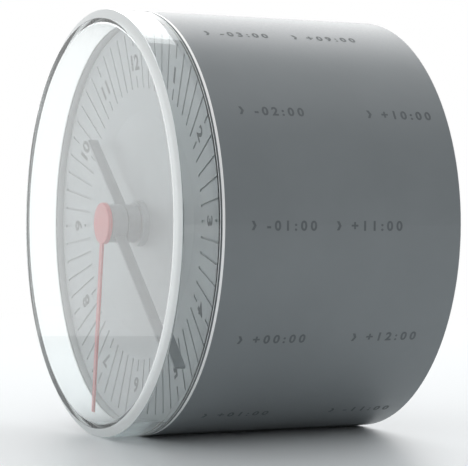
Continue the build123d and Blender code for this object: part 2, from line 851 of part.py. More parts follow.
with BuildPart() as coil_bobbin:
    with BuildSketch(coil_end):
        Circle(bobbin_tube_radius)
        Circle(bobbin_bore_radius, mode=Mode.SUBTRACT)
    extrude(amount=coil_length)
    with BuildSketch(coil_end, coil_end.offset(coil_length - bobbin_flange_thickness)):
        Circle(bobbin_flange_radius)
        Circle(bobbin_bore_radius, mode=Mode.SUBTRACT)
    extrude(amount=bobbin_flange_thickness)
save(coil_bobbin, "coil_bobbin")

with BuildPart() as coil_winding:
    with BuildSketch(coil_end.offset(bobbin_flange_thickness)):
        Circle(coil_radius)
        Circle(bobbin_tube_radius, mode=Mode.SUBTRACT)
    extrude(amount=coil_length - 2 * bobbin_flange_thickness)
save(coil_winding, "coil_winding")

with BuildPart() as circuit_board:
    with BuildSketch(station(module_back_inside)):
        with Locations((-board_side, -board_drop)):
            Rectangle(board_width, board_height)
        with Locations(*post_places):
            Circle(module_post_radius + end_gap, mode=Mode.SUBTRACT)
    extrude(amount=board_thickness)
save(circuit_board, "circuit_board")

# Battery, its tray behind the movement, and the two contacts
def across(x):
    """Plane square to the battery's axis at a place along X."""
    return Plane(
        origin=(x, front_y + battery_depth, axis_height - battery_drop),
        x_dir=(0, 1, 0),
        z_dir=(1, 0, 0),
    )


with BuildPart() as battery_tray:
    with BuildSketch(station(module_back)):
        with Locations((tray_middle, -battery_drop)):
            Rectangle(tray_length, tray_height)
    extrude(amount=-tray_depth)
    with BuildSketch(station(module_back + tray_floor)):
        with Locations((tray_middle, -battery_drop)):
            Rectangle(tray_length - 2 * tray_wall, tray_height - 2 * tray_wall)
    extrude(amount=tray_floor - tray_depth, mode=Mode.SUBTRACT)
save(battery_tray, "battery_tray")

with BuildPart() as battery:
    with BuildSketch(across(battery_left)):
        Circle(battery_radius)
    extrude(amount=battery_length)
    with BuildSketch(across(battery_right)):
        Circle(battery_nub_radius)
    extrude(amount=battery_nub_length)
save(battery, "battery")

with BuildPart() as battery_contacts:
    with BuildSketch(across(tray_left), across(tray_right - contact_thickness)):
        Rectangle(contact_width, contact_width)
    extrude(amount=contact_thickness)
    with BuildSketch(across(tray_right - contact_thickness)):
        Circle(plus_boss_radius)
    extrude(amount=-plus_boss_length)
    with BuildSketch(across(tray_left + contact_thickness)):
        Circle(minus_spring_radius)
    with BuildSketch(across(battery_left)):
        Circle(minus_spring_tip_radius)
    loft()
save(battery_contacts, "battery_contacts")

# Rotor: a magnet and a pinion on one thin shaft
with BuildPart() as rotor:
    with BuildSketch(station(train_plate_front, rotor_place)):
        Circle(pivot_radius)
    extrude(amount=train_plate_front - module_back)
    with BuildSketch(station(step_layer, rotor_place)):
        with BuildLine():
            Polyline(*rotor_pinion_outline, close=True)
        make_face()
    extrude(amount=-wheel_thickness)
    with BuildSketch(station(magnet_front, rotor_place)):
        Circle(rotor_magnet_radius)
    extrude(amount=-rotor_magnet_length)
save(rotor, "rotor")


def wheel_on_arbor(place, wheel, pinion, body_span, pivot_span):
    """Arbor with thin pivots that carries a wheel and a pinion, each given as depth and outline."""
    with BuildPart() as piece:
        body_front, body_back = body_span
        with BuildSketch(station(body_front, place)):
            Circle(arbor_radius)
        extrude(amount=body_front - body_back)
        pivot_front, pivot_back = pivot_span
        with BuildSketch(station(pivot_front, place)):
            Circle(pivot_radius)
        extrude(amount=pivot_front - pivot_back)
        for depth, outline in (wheel, pinion):
            with BuildSketch(station(depth, place)):
                with BuildLine():
                    Polyline(*outline, close=True)
                make_face()
            extrude(amount=-wheel_thickness)
    return piece


step_wheel = wheel_on_arbor(
    step_place,
    (step_layer, step_wheel_outline),
    (second_layer, step_pinion_outline),
    (third_layer, module_back_inside - end_gap),
    (train_plate_front, module_back),
)
save(step_wheel, "step_wheel")

third_wheel = wheel_on_arbor(
    third_place,
    (third_layer, third_wheel_outline),
    (minute_layer, third_pinion_outline),
    (hour_layer, module_back_inside - end_gap),
    (module_front, module_back),
)
save(third_wheel, "third_wheel")

motion_wheel = wheel_on_arbor(
    motion_place,
    (cannon_layer, motion_wheel_outline),
    (hour_layer, motion_pinion_outline),
    (hour_layer, setting_layer),
    (module_front, module_back),
)

# The motion wheel's arbor also carries the wheel that the setting pinion drives
with BuildPart() as motion_set:
    add(motion_wheel.part)
    with BuildSketch(station(setting_layer, motion_place)):
        with BuildLine():
            Polyline(*setting_wheel_outline, close=True)
        make_face()
    extrude(amount=-wheel_thickness)
save(motion_set, "motion_wheel")

# Second wheel: its arbor runs through the pipes to the second hand
with BuildPart() as second_wheel:
    with BuildSketch(station(second_disc_depth + second_cap_thickness)):
        Circle(second_arbor_radius)
    extrude(amount=second_disc_depth + second_cap_thickness - second_layer - layer_pitch)
    with BuildSketch(station(second_layer)):
        Circle(pivot_radius)
    extrude(amount=second_layer - setting_layer - wheel_thickness)
    with BuildSketch(station(third_layer)):
        with BuildLine():
            Polyline(*second_pinion_outline, close=True)
        make_face()
    extrude(amount=-wheel_thickness)
    with BuildSketch(station(second_layer)):
        with BuildLine():
            Polyline(*second_wheel_outline, close=True)
        make_face()
    extrude(amount=-wheel_thickness)
save(second_wheel, "second_wheel")

# Minute wheel: a pipe with the cannon pinion, which drives the motion work
with BuildPart() as minute_wheel:
    with BuildSketch(station(minute_hub_front)):
        Circle(minute_pipe_radius)
    extrude(amount=minute_hub_front - minute_layer - wheel_thickness)
    with BuildSketch(station(cannon_layer)):
        with BuildLine():
            Polyline(*cannon_pinion_outline, close=True)
        make_face()
    extrude(amount=-wheel_thickness)
    with BuildSketch(station(minute_layer)):
        with BuildLine():
            Polyline(*minute_wheel_outline, close=True)
        make_face()
    extrude(amount=-wheel_thickness)
    with BuildSketch(station(minute_hub_front)):
        Circle(second_bore_radius)
    extrude(amount=minute_hub_front - minute_layer - wheel_thickness, mode=Mode.SUBTRACT)
save(minute_wheel, "minute_wheel")

with BuildPart() as hour_wheel:
    with BuildSketch(station(hour_hub_front)):
        Circle(hour_pipe_radius)
    extrude(amount=hour_hub_front - hour_layer - wheel_thickness)
    with BuildSketch(station(hour_layer)):
        with BuildLine():
            Polyline(*hour_wheel_outline, close=True)
        make_face()
    extrude(amount=-wheel_thickness)
    with BuildSketch(station(hour_hub_front)):
        Circle(hour_bore_radius)
    extrude(amount=hour_hub_front - hour_layer - wheel_thickness, mode=Mode.SUBTRACT)
save(hour_wheel, "hour_wheel")

# Setting arbor: a pinion in the movement, on a long arbor that leaves it at the back
with BuildPart() as setting_arbor:
    with BuildSketch(station(setting_layer)):
        with BuildLine():
            Polyline(*setting_pinion_outline, close=True)
        make_face()
    extrude(amount=-wheel_thickness)
    with BuildSketch(station(setting_layer)):
        Circle(setting_arbor_radius)
    extrude(amount=setting_layer - knob_front)
    with BuildSketch(station(setting_layer)):
        Circle(pivot_radius + running_gap)
    extrude(amount=-wheel_thickness - end_gap, mode=Mode.SUBTRACT)
save(setting_arbor, "setting_arbor")

with BuildPart() as setting_knob:
    with BuildSketch(station(knob_hub_front)):
        Circle(knob_hub_radius)
    extrude(amount=-knob_hub_length)
    with BuildSketch(station(knob_front)):
        Circle(knob_radius)
        with PolarLocations(knob_radius, knob_flute_count):
            Circle(knob_flute_radius, mode=Mode.SUBTRACT)
    extrude(amount=-knob_plate_thickness)
    with BuildSketch(station(knob_back)):
        SlotOverall(knob_bar_length, knob_bar_width)
    extrude(amount=-knob_bar_height)
    with BuildSketch(station(knob_hub_front)):
        Circle(setting_arbor_radius + thread_gap)
    extrude(amount=-knob_hub_length, mode=Mode.SUBTRACT)
save(setting_knob, "setting_knob")


def deep_hand(hub_front, hub_length, blade_depth, length, angle, pipe_radius):
    """Round hub with a thin blade that stands deep along the axis, seen edge-on from the front."""
    with BuildPart() as piece:
        with BuildSketch(station(hub_front)):
            Circle(hub_radius)
        extrude(amount=-hub_length)
        with BuildSketch(station(hub_front + hub_length - blade_margin)):
            Rectangle(length, blade_width, rotation=90 - angle, align=(Align.MIN, Align.CENTER))
        extrude(amount=blade_depth)
        with BuildSketch(station(hub_front)):
            Circle(pipe_radius + thread_gap)
        extrude(amount=-hub_length, mode=Mode.SUBTRACT)
    return piece


hour_hand = deep_hand(
    hour_hub_front,
    hour_hub_length,
    hour_blade_depth,
    hour_hand_length,
    hour_hand_angle,
    hour_pipe_radius,
)
save(hour_hand, "hour_hand")

minute_hand = deep_hand(
    minute_hub_front,
    minute_hub_length,
    minute_blade_depth,
    minute_hand_length,
    minute_hand_angle,
    minute_pipe_radius,
)
save(minute_hand, "minute_hand")

# Second hand: a round disc and a thin tapered pointer, pressed on the end of the arbor
with BuildPart() as second_hand:
    with BuildSketch(station(second_disc_depth)):
        Circle(second_disc_radius)
    extrude(amount=-second_disc_thickness)
    chamfer(edges().group_by(Axis.Y)[0], length=second_disc_chamfer)
    with BuildSketch(station(second_disc_depth + (second_disc_thickness - second_hand_thickness) / 2)):
        with BuildLine():
            Polyline(
                clock_point(second_hand_angle, 0, -second_root_width / 2),
                clock_point(second_hand_angle, second_hand_length, -second_tip_width / 2),
                clock_point(second_hand_angle, second_hand_length, second_tip_width / 2),
                clock_point(second_hand_angle, 0, second_root_width / 2),
                close=True,
            )
        make_face()
    extrude(amount=-second_hand_thickness)
    with BuildSketch(station(second_disc_depth + second_cap_thickness)):
        Circle(second_arbor_radius + thread_gap)
    extrude(amount=second_cap_thickness - second_disc_thickness, mode=Mode.SUBTRACT)
save(second_hand, "second_hand")
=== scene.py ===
"""World time clock: looks for the drum, its clear cap, its dial and the works inside.

Lengths are written in millimetres and turned to metres where they meet Blender. Only the table's
sizes and the camera's clipping range are in metres. The drum's axis runs along Y at axis height,
the dial faces -Y, and depths are measured from the front of the cap.
"""

from __future__ import annotations

import logging
import math
from dataclasses import dataclass, field
from enum import Enum

import bmesh
import bpy
import numpy as np
from mathutils import Matrix, Vector


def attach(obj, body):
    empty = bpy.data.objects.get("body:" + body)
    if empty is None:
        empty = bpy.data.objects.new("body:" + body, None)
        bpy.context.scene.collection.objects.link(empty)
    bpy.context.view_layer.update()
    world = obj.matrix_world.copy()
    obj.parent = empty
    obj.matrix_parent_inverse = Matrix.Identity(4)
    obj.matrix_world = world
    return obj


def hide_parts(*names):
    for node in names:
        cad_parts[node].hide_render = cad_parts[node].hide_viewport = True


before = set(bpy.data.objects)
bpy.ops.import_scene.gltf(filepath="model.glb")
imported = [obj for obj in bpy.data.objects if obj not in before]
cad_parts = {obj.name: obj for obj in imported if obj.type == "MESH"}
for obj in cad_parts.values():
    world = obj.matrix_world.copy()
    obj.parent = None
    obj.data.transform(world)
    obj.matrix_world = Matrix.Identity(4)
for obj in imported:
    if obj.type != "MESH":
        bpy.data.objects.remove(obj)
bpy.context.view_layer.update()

LOG = logging.getLogger("world_time_clock")
MM = 0.001
AXIS_HEIGHT = 50.0
FRONT_Y = -35.0
CASE_RADIUS = 50.0
# The dial is a cone from its rim down to a flat middle.
DIAL_RIM_RADIUS, DIAL_RIM_DEPTH = 46.9, 11.3
DIAL_FLAT_RADIUS, DIAL_FLAT_DEPTH = 26.6, 13.7
DIAL_SLOPE = (DIAL_FLAT_DEPTH - DIAL_RIM_DEPTH) / (DIAL_RIM_RADIUS - DIAL_FLAT_RADIUS)
HOURS = 12
HOUR_DEGREES = 30
# Edges that turn by more than this many degrees shade as sharp.
SHARP_ANGLE = 32


# Colours and nodes


def linear(code: str) -> tuple[float, float, float, float]:
    """Turn an sRGB hex colour into the linear colour that shaders take.

    Args:
        code: six hex digits after a hash.

    Returns:
        Red, green, blue and a full alpha.
    """
    parts = [int(code[place : place + 2], 16) / 255 for place in (1, 3, 5)]
    red, green, blue = (
        part / 12.92 if part <= 0.04045 else ((part + 0.055) / 1.055) ** 2.4 for part in parts
    )
    return red, green, blue, 1.0


def add_node(tree: bpy.types.NodeTree, kind: str, **given: object) -> bpy.types.Node:
    """Add one node with its settings and links.

    Args:
        tree: the material's or the world's node tree.
        kind: the node's type name without its "ShaderNode" start.
        given: node properties, or input names (underscores for spaces, or in_N for the N-th
            input) with a value or with the socket that feeds them.

    Returns:
        The new node.
    """
    node = tree.nodes.new(f"ShaderNode{kind}")
    for name, value in given.items():
        if name in node.bl_rna.properties and not name.startswith("in_"):
            setattr(node, name, value)
            continue
        place = int(name[3:]) if name.startswith("in_") else name.replace("_", " ")
        if isinstance(value, bpy.types.NodeSocket):
            tree.links.new(value, node.inputs[place])
        else:
            node.inputs[place].default_value = value
    return node


def blank_material(
    name: str,
) -> tuple[bpy.types.Material, bpy.types.NodeTree, bpy.types.NodeSocket]:
    """Make a material whose node tree holds the object coordinates and nothing else.

    Args:
        name: the material's name.

    Returns:
        The material, its node tree, and the socket of the coordinates, in metres.
    """
    material = bpy.data.materials.new(name)
    material.use_nodes = True
    tree = material.node_tree
    tree.nodes.clear()
    return material, tree, add_node(tree, "TexCoord").outputs["Object"]


def reach_and_depth(
    tree: bpy.types.NodeTree, place: bpy.types.NodeSocket
) -> tuple[bpy.types.NodeSocket, bpy.types.NodeSocket]:
    """Give a point's distance from the drum's axis and its depth behind the cap's front.

    Args:
        tree: the material's node tree.
        place: the object coordinates, in metres.

    Returns:
        The two sockets, both in millimetres.
    """
    centred = add_node(
        tree, "Mapping", Vector=place, Scale=(1 / MM,) * 3, Location=(0, -FRONT_Y, -AXIS_HEIGHT)
    )
    flat = add_node(
        tree, "VectorMath", operation="MULTIPLY", in_0=centred.outputs[0], in_1=(1, 0, 1)
    )
    reach = add_node(tree, "VectorMath", operation="LENGTH", in_0=flat.outputs[0])
    axes = add_node(tree, "SeparateXYZ", Vector=centred.outputs[0])
    return reach.outputs["Value"], axes.outputs["Y"]


# Finishes


# The values of a noise between which mottling, relief and haze grow from none to full.
MOTTLING_FROM, MOTTLING_TO = 0.3, 0.7
RELIEF_FROM, RELIEF_TO = 0.25, 0.75
HAZE_FROM, HAZE_TO = 0.35, 0.75
# How many finer layers a noise has, and how rough these are.
PLAIN_DETAIL, RING_DETAIL, HAZE_DETAIL, FIBRE_DETAIL = 3.0, 2.0, 4.0, 8.0
MOTTLE_ROUGHNESS, GRAIN_ROUGHNESS = 0.6, 0.65
FIBRE_TWIST = 1.5
# Width of a rolled or drawn line as a share of its length.
LINE_SQUASH = 0.04
LEAST_ROUGHNESS = 0.02
COAT_ROUGHNESS = 0.12


class Pattern(Enum):
    """How a surface was made, which sets the way its fine relief runs."""

    GRAIN = "even grain of a lacquer, a blasted or a moulded surface"
    TURNED = "rings left by a lathe tool round the drum's axis"
    ROLLED = "straight lines left by a rolling mill or a brush"
    FELTED = "tangled fibres"
    DRAWN = "length lines of a drawn bar"


@dataclass(frozen=True)
class Finish:
    """A real surface: its colours, its gloss, and the size and depth of its relief.

    The colour drifts between two tones in patches, the roughness follows the relief, and the
    relief itself is noise laid out as the pattern says, at a size in real millimetres.
    """

    name: str
    colour: str
    tone: str
    roughness: float
    spread: float = 0.06
    metallic: float = 0.0
    grain: float = 0.3
    relief: float = 0.01
    patch: float = 9.0
    pattern: Pattern = Pattern.GRAIN
    coat: float = 0.0
    sheen: float = 0.0
    specular: float = 0.5

    def build(self) -> bpy.types.Material:
        """Make the material.

        Returns:
            A material whose colour, roughness and relief come from nodes.
        """
        material, tree, place = blank_material(self.name)
        relief = self.relief_value(tree, place)
        drift = add_node(
            tree,
            "TexNoise",
            Vector=place,
            Scale=1 / (self.patch * MM),
            Detail=PLAIN_DETAIL,
            Roughness=MOTTLE_ROUGHNESS,
        )
        mottled = add_node(
            tree, "MapRange", Value=drift.outputs[0], in_1=MOTTLING_FROM, in_2=MOTTLING_TO
        )
        colour = add_node(
            tree,
            "Mix",
            data_type="RGBA",
            in_0=mottled.outputs[0],
            in_6=linear(self.colour),
            in_7=linear(self.tone),
        )
        # Any inlay and any painted shade of a finish go in here.
        colour, metal = self.add_inlay_and_painted_shade(tree, place, colour.outputs[2])
        rough = add_node(
            tree,
            "MapRange",
            Value=relief,
            in_1=RELIEF_FROM,
            in_2=RELIEF_TO,
            in_3=max(self.roughness - self.spread, LEAST_ROUGHNESS),
            in_4=min(self.roughness + self.spread, 1.0),
        )
        bump = add_node(tree, "Bump", Height=relief, Strength=1.0, Distance=self.relief * MM)
        shader = add_node(
            tree,
            "BsdfPrincipled",
            Base_Color=colour,
            Roughness=rough.outputs[0],
            Metallic=metal,
            Normal=bump.outputs[0],
        )
        if not self.metallic:
            shader.inputs["Specular IOR Level"].default_value = self.specular
        shader.inputs["Coat Weight"].default_value = self.coat
        shader.inputs["Coat Roughness"].default_value = COAT_ROUGHNESS
        shader.inputs["Sheen Weight"].default_value = self.sheen
        add_node(tree, "OutputMaterial", Surface=shader.outputs[0])
        return material

    def add_inlay_and_painted_shade(
        self, tree: bpy.types.NodeTree, place: bpy.types.NodeSocket, colour: bpy.types.NodeSocket
    ) -> tuple[bpy.types.NodeSocket, bpy.types.NodeSocket | float]:
        """Give the colour and the metal share; a plain finish has no inlay and no painted shade."""
        return colour, self.metallic

    def relief_value(
        self, tree: bpy.types.NodeTree, place: bpy.types.NodeSocket
    ) -> bpy.types.NodeSocket:
        """Lay the relief's noise out as the pattern says.

        Args:
            tree: the material's node tree.
            place: the object coordinates.

        Returns:
            The socket that carries the relief, from 0 to 1.
        """
        if self.pattern is Pattern.TURNED:
            reach = reach_and_depth(tree, place)[0]
            rings = add_node(
                tree,
                "TexNoise",
                noise_dimensions="1D",
                W=reach,
                Scale=1 / self.grain,
                Detail=RING_DETAIL,
            )
            return rings.outputs[0]
        if self.pattern is Pattern.ROLLED:
            place = add_node(tree, "Mapping", Vector=place, Scale=(LINE_SQUASH, 1, 1)).outputs[0]
        if self.pattern is Pattern.DRAWN:
            place = add_node(tree, "Mapping", Vector=place, Scale=(1, LINE_SQUASH, 1)).outputs[0]
        felted = self.pattern is Pattern.FELTED
        grain = add_node(
            tree,
            "TexNoise",
            Vector=place,
            Scale=1 / (self.grain * MM),
            Detail=FIBRE_DETAIL if felted else PLAIN_DETAIL,
            Roughness=GRAIN_ROUGHNESS,
            Distortion=FIBRE_TWIST if felted else 0.0,
        )
        return grain.outputs[0]


@dataclass(frozen=True)
class InlayAndPaintedShadeFinish(Finish):
    """A surface whose lower places take a dull colour of their own: paint on some pieces, as in
    engraved marks, and painted shade on others, where a groove between parts lies in shade.

    A point takes that colour where its measured height lies between two bounds. The height is the
    depth below a cone, which is the depth less the cone's depth at that distance from the
    axis. With a slope of 0 it is the depth below a flat face. Nothing nearer to the axis than
    the least reach takes it.
    """

    # Colour of the lower places: paint in engraved marks, and painted shade where a groove lies in shade.
    inlay_and_painted_shade_colour: str = "#3C4042"
    start: float = 0.0
    end: float = 1.0
    least_reach: float = 0.0
    cone_radius: float = 0.0
    cone_depth: float = 0.0
    slope: float = 0.0

    def add_inlay_and_painted_shade(
        self, tree: bpy.types.NodeTree, place: bpy.types.NodeSocket, colour: bpy.types.NodeSocket
    ) -> tuple[bpy.types.NodeSocket, bpy.types.NodeSocket | float]:
        """Give the places between the bounds their dull colour: paint in engraved marks, painted shade in
        a shaded groove.

        Args:
            tree: the material's node tree.
            place: the object coordinates.
            colour: the bare surface's colour.

        Returns:
            The colour with its paint and painted shade, and the metal share, which is 0 in those places.
        """
        reach, depth = reach_and_depth(tree, place)
        along = add_node(
            tree, "Math", operation="MULTIPLY_ADD", in_0=reach, in_1=self.slope, in_2=depth
        )
        below = add_node(
            tree,
            "Math",
            operation="SUBTRACT",
            in_0=along.outputs[0],
            in_1=self.cone_depth + self.cone_radius * self.slope,
        )
        # Places between the bounds take the dull colour; in a groove this is painted shade.
        inlaid_and_shaded = add_node(
            tree,
            "Math",
            operation="COMPARE",
            in_0=below.outputs[0],
            in_1=(self.start + self.end) / 2,
            in_2=(self.end - self.start) / 2,
        )
        outside = add_node(
            tree, "Math", operation="GREATER_THAN", in_0=reach, in_1=self.least_reach
        )
        inlaid_and_shaded = add_node(
            tree, "Math", operation="MULTIPLY", in_0=inlaid_and_shaded.outputs[0], in_1=outside.outputs[0]
        )
        mixed = add_node(
            tree,
            "Mix",
            data_type="RGBA",
            in_0=inlaid_and_shaded.outputs[0],
            in_6=colour,
            in_7=linear(self.inlay_and_painted_shade_colour),
        )
        metal = add_node(
            tree, "MapRange", Value=inlaid_and_shaded.outputs[0], in_3=self.metallic, in_4=0.0
        )
        return mixed.outputs[2], metal.outputs[0]


# Aluminium tube under a matte grey lacquer: an even cool grey with a soft sheen and the faintest
# orange peel. The peel is drawn at 0.5 mm, about twice its real size, so that it shows.
HOUSING_LACQUER = Finish(
    "matte_lacquer_on_aluminium", "#767C7F", "#7A8083", 0.36, 0.05, grain=0.5, relief=0.004, patch=22
)
# Screen-printed ink on the lacquer: a darker grey, flatter than the ground round it.
PRINT_INK = Finish("screen_print_ink", "#565C5F", "#5D6366", 0.62, grain=0.25, relief=0.006, patch=3)
# Bead-blasted, clear anodised aluminium: a soft silver that scatters light evenly. The floors of
# its engraved marks hold grey paint, and their cut walls stay bare.
DIAL_ALUMINIUM = InlayAndPaintedShadeFinish(
    "blasted_anodised_aluminium",
    "#B7BABC",
    "#B2B6B8",
    0.52,
    0.05,
    metallic=0.38,
    grain=0.22,
    relief=0.005,
    patch=14,
    inlay_and_painted_shade_colour="#A2A6A8",
    start=0.2,
    end=0.34,
    cone_radius=DIAL_RIM_RADIUS,
    cone_depth=DIAL_RIM_DEPTH,
    slope=DIAL_SLOPE,
)
# Stamped ink of the hour numbers: dark grey, dull.
NUMERAL_INK = Finish("dial_print_ink", "#5E6264", "#65696B", 0.6, grain=0.2, relief=0.004, patch=2)
# Turned brass under satin chrome: a pale bright band with fine lathe rings in it. The face and
# the groove behind the cap are a dull darker grey without metal: painted shade of the gap
# between the cap and the ring.
CHROMED_BRASS_WITH_PAINTED_SHADE = InlayAndPaintedShadeFinish(
    "satin_chromed_brass_with_painted_shade",
    "#FAFAFA",
    "#F5F6F6",
    0.42,
    0.05,
    metallic=0.08,
    grain=0.12,
    relief=0.0015,
    patch=30,
    pattern=Pattern.TURNED,
    # Painted shade: the dull grey of the ring's face and groove behind the cap.
    inlay_and_painted_shade_colour="#8A8E90",
    start=9.0,
    end=10.44,
    least_reach=48.3,
)
# Stamped brass blades in satin grey lacquer: even, a shade darker than the dial.
HAND_LACQUER = Finish("satin_lacquer_on_brass", "#95999C", "#8E9295", 0.4, grain=0.2, relief=0.003)
# The seconds hand and its disc: thin aluminium in red lacquer, a little glossier.
SIGNAL_LACQUER = Finish(
    "signal_red_lacquer", "#D1343A", "#C73036", 0.34, grain=0.25, relief=0.003, coat=0.2
)
# Injection-moulded ABS of the rear cover: dark grey with a fine spark-eroded grain.
REAR_ABS = Finish("moulded_abs_dark_grey", "#3A3D3F", "#424547", 0.55, grain=0.35, relief=0.02)
# Glass-filled nylon of the movement's case: near black and slightly streaky.
MOVEMENT_NYLON = Finish("glass_filled_nylon", "#1E2022", "#2A2C2E", 0.5, grain=0.5, relief=0.015)
# Acetal of the wheels: milky white, waxy and smooth.
WHEEL_ACETAL = Finish(
    "natural_acetal", "#E4E2D8", "#DAD8CC", 0.32, grain=0.4, relief=0.004, patch=4
)
# Acetal of the bush that the hands turn in: pale grey, waxy and smooth.
HUB_ACETAL = Finish("grey_acetal", "#A8ADAF", "#A0A5A8", 0.4, grain=0.3, relief=0.004, patch=5)
# Turned brass of bushes, journals and pillars: warm, with rings from the tool.
TURNED_BRASS = Finish(
    "turned_brass",
    "#D9B45E",
    "#C9A24E",
    0.26,
    0.08,
    metallic=1.0,
    grain=0.16,
    relief=0.003,
    patch=6,
    pattern=Pattern.TURNED,
)
# Rolled aluminium sheet of the carrier plates: grey with the mill's long lines.
ROLLED_ALUMINIUM = Finish(
    "rolled_aluminium_sheet",
    "#C3C6C7",
    "#B6BABC",
    0.36,
    0.08,
    metallic=1.0,
    grain=0.3,
    relief=0.004,
    patch=12,
    pattern=Pattern.ROLLED,
)
# Pressed wool felt: dull, fibrous and slightly furry at the edge.
WOOL_FELT = Finish(
    "pressed_wool_felt",
    "#5A5D5A",
    "#6B6E6A",
    0.95,
    0.04,
    grain=0.5,
    relief=0.12,
    patch=2,
    pattern=Pattern.FELTED,
    sheen=0.5,
    specular=0.1,
)
# Zinc-plated steel of the screws and the arbor: pale grey with a soft gloss.
SCREW_STEEL = Finish(
    "zinc_plated_steel", "#A9ADAF", "#9CA0A3", 0.3, 0.08, metallic=1.0, grain=0.25, relief=0.004, patch=3
)
# Sand-cast zinc of the weight: dull grey with a coarse skin.
CAST_ZINC = Finish(
    "sand_cast_zinc", "#878A8C", "#74777A", 0.58, 0.12, metallic=1.0, grain=0.9, relief=0.06, patch=5
)
# Electrical steel of the stator and the coil's core: grey, drawn lengthwise.
CORE_STEEL = Finish(
    "electrical_steel",
    "#8E9294",
    "#7D8184",
    0.38,
    0.1,
    metallic=1.0,
    grain=0.3,
    relief=0.005,
    patch=4,
    pattern=Pattern.DRAWN,
)
# Ferrite of the rotor: charcoal and matte.
ROTOR_FERRITE = Finish("sintered_ferrite", "#2C2D2F", "#37383A", 0.7, grain=0.3, relief=0.02)
# Enamelled copper wire: orange brown under clear enamel.
COPPER_ENAMEL = Finish(
    "enamelled_copper_wire",
    "#C06A3A",
    "#A8582D",
    0.28,
    0.06,
    metallic=1.0,
    grain=0.2,
    relief=0.004,
    patch=1.5,
    coat=0.4,
)
# Solder mask on glass-fibre board: deep green with the weave under it, drawn at 0.6 mm.
BOARD_MASK = Finish(
    "solder_mask_on_glass_fibre", "#1F5A3A", "#2A6D48", 0.35, grain=0.6, relief=0.012, patch=2.5, coat=0.3
)
# Plastic sleeve shrunk on the battery's steel can: dark, smooth and glossy.
BATTERY_SLEEVE = Finish(
    "shrink_sleeve_on_steel", "#30343A", "#262A2F", 0.24, grain=0.6, relief=0.006, patch=8, coat=0.5
)
# Nickel-plated spring steel of the contacts: warm grey and bright.
SPRING_NICKEL = Finish(
    "nickel_plated_spring_steel",
    "#C9C6BE",
    "#B9B6AE",
    0.22,
    0.06,
    metallic=1.0,
    grain=0.3,
    relief=0.003,
    patch=3,
    pattern=Pattern.ROLLED,
)
# Moulded acetal of the setting knob: light grey so that the fingers find it.
KNOB_ACETAL = Finish("moulded_knob_acetal", "#8B9093", "#83888B", 0.4, grain=0.3, relief=0.008)


@dataclass(frozen=True)
class ClearAcrylic:
    """Cast acrylic, flame-polished: clear and colourless, with the faint haze of handling.

    The haze is a slow drift of roughness in patches about the size of a thumb mark. Lamps reach
    what is behind the wall, as they do through thin real acrylic. Light that has been thrown
    back inside the wall often enough leaves it, so that the edges glow as cut acrylic does.
    A ground face has a roughness of its own under that drift, and is less than clear.
    """

    name: str = "polished_cast_acrylic"
    tint: str = "#FBFEFE"
    ior: float = 1.49
    haze: float = 0.02
    patch: float = 14.0
    ground: float = 0.0
    clarity: float = 1.0
    echoes: float = 2.5

    def build(self) -> bpy.types.Material:
        """Make the material.

        Returns:
            A clear material that passes the light of lamps.
        """
        material, tree, place = blank_material(self.name)
        haze = add_node(
            tree, "TexNoise", Vector=place, Scale=1 / (self.patch * MM), Detail=HAZE_DETAIL
        )
        rough = add_node(
            tree,
            "MapRange",
            Value=haze.outputs[0],
            in_1=HAZE_FROM,
            in_2=HAZE_TO,
            in_3=self.ground,
            in_4=self.ground + self.haze,
        )
        shader = add_node(
            tree,
            "BsdfPrincipled",
            Base_Color=linear(self.tint),
            Roughness=rough.outputs[0],
            IOR=self.ior,
            Transmission_Weight=self.clarity,
        )
        passing = add_node(tree, "BsdfTransparent", Color=linear(self.tint))
        path = add_node(tree, "LightPath")
        spent = add_node(
            tree,
            "Math",
            operation="GREATER_THAN",
            in_0=path.outputs["Glossy Depth"],
            in_1=self.echoes,
        )
        leaves = add_node(
            tree,
            "Math",
            operation="MAXIMUM",
            in_0=path.outputs["Is Shadow Ray"],
            in_1=spent.outputs[0],
        )
        mixed = add_node(
            tree,
            "MixShader",
            in_0=leaves.outputs[0],
            in_1=shader.outputs[0],
            in_2=passing.outputs[0],
        )
        add_node(tree, "OutputMaterial", Surface=mixed.outputs[0])
        return material


POLISHED_ACRYLIC = ClearAcrylic()
# The bevel and the seat are ground and not polished: they blur what lies behind them into one
# even pale strip. The grit is drawn at 0.4 mm, several times its real size.
GROUND_ACRYLIC = ClearAcrylic(
    name="fine_ground_acrylic", haze=0.08, patch=0.4, ground=0.6, clarity=0.3
)


# Shapes

# How far type is thickened to each side before it is scaled to the ink's thickness, and the
# steps on each of its curves.
TYPE_DEPTH, TYPE_STEPS = 0.5, 4
# Points of the print that lie closer than this, in metres, become one.
WELD_REACH = 1e-7


def drum_points(radius: np.ndarray, turn: np.ndarray, depth: np.ndarray) -> np.ndarray:
    """Place points by radius, clock angle and depth.

    The clock angle starts at the top and grows clockwise as the front shows it, so x is the
    radius times its sine and z is the axis height plus the radius times its cosine.

    Args:
        radius: distances from the drum's axis, mm.
        turn: clock angles, radians.
        depth: distances behind the front of the cap, mm.

    Returns:
        Points in metres, one row each.
    """
    radius, turn, depth = np.broadcast_arrays(radius, turn, depth)
    across = radius * np.sin(turn)
    height = AXIS_HEIGHT + radius * np.cos(turn)
    return np.stack([across, FRONT_Y + depth, height], axis=-1).reshape(-1, 3) * MM


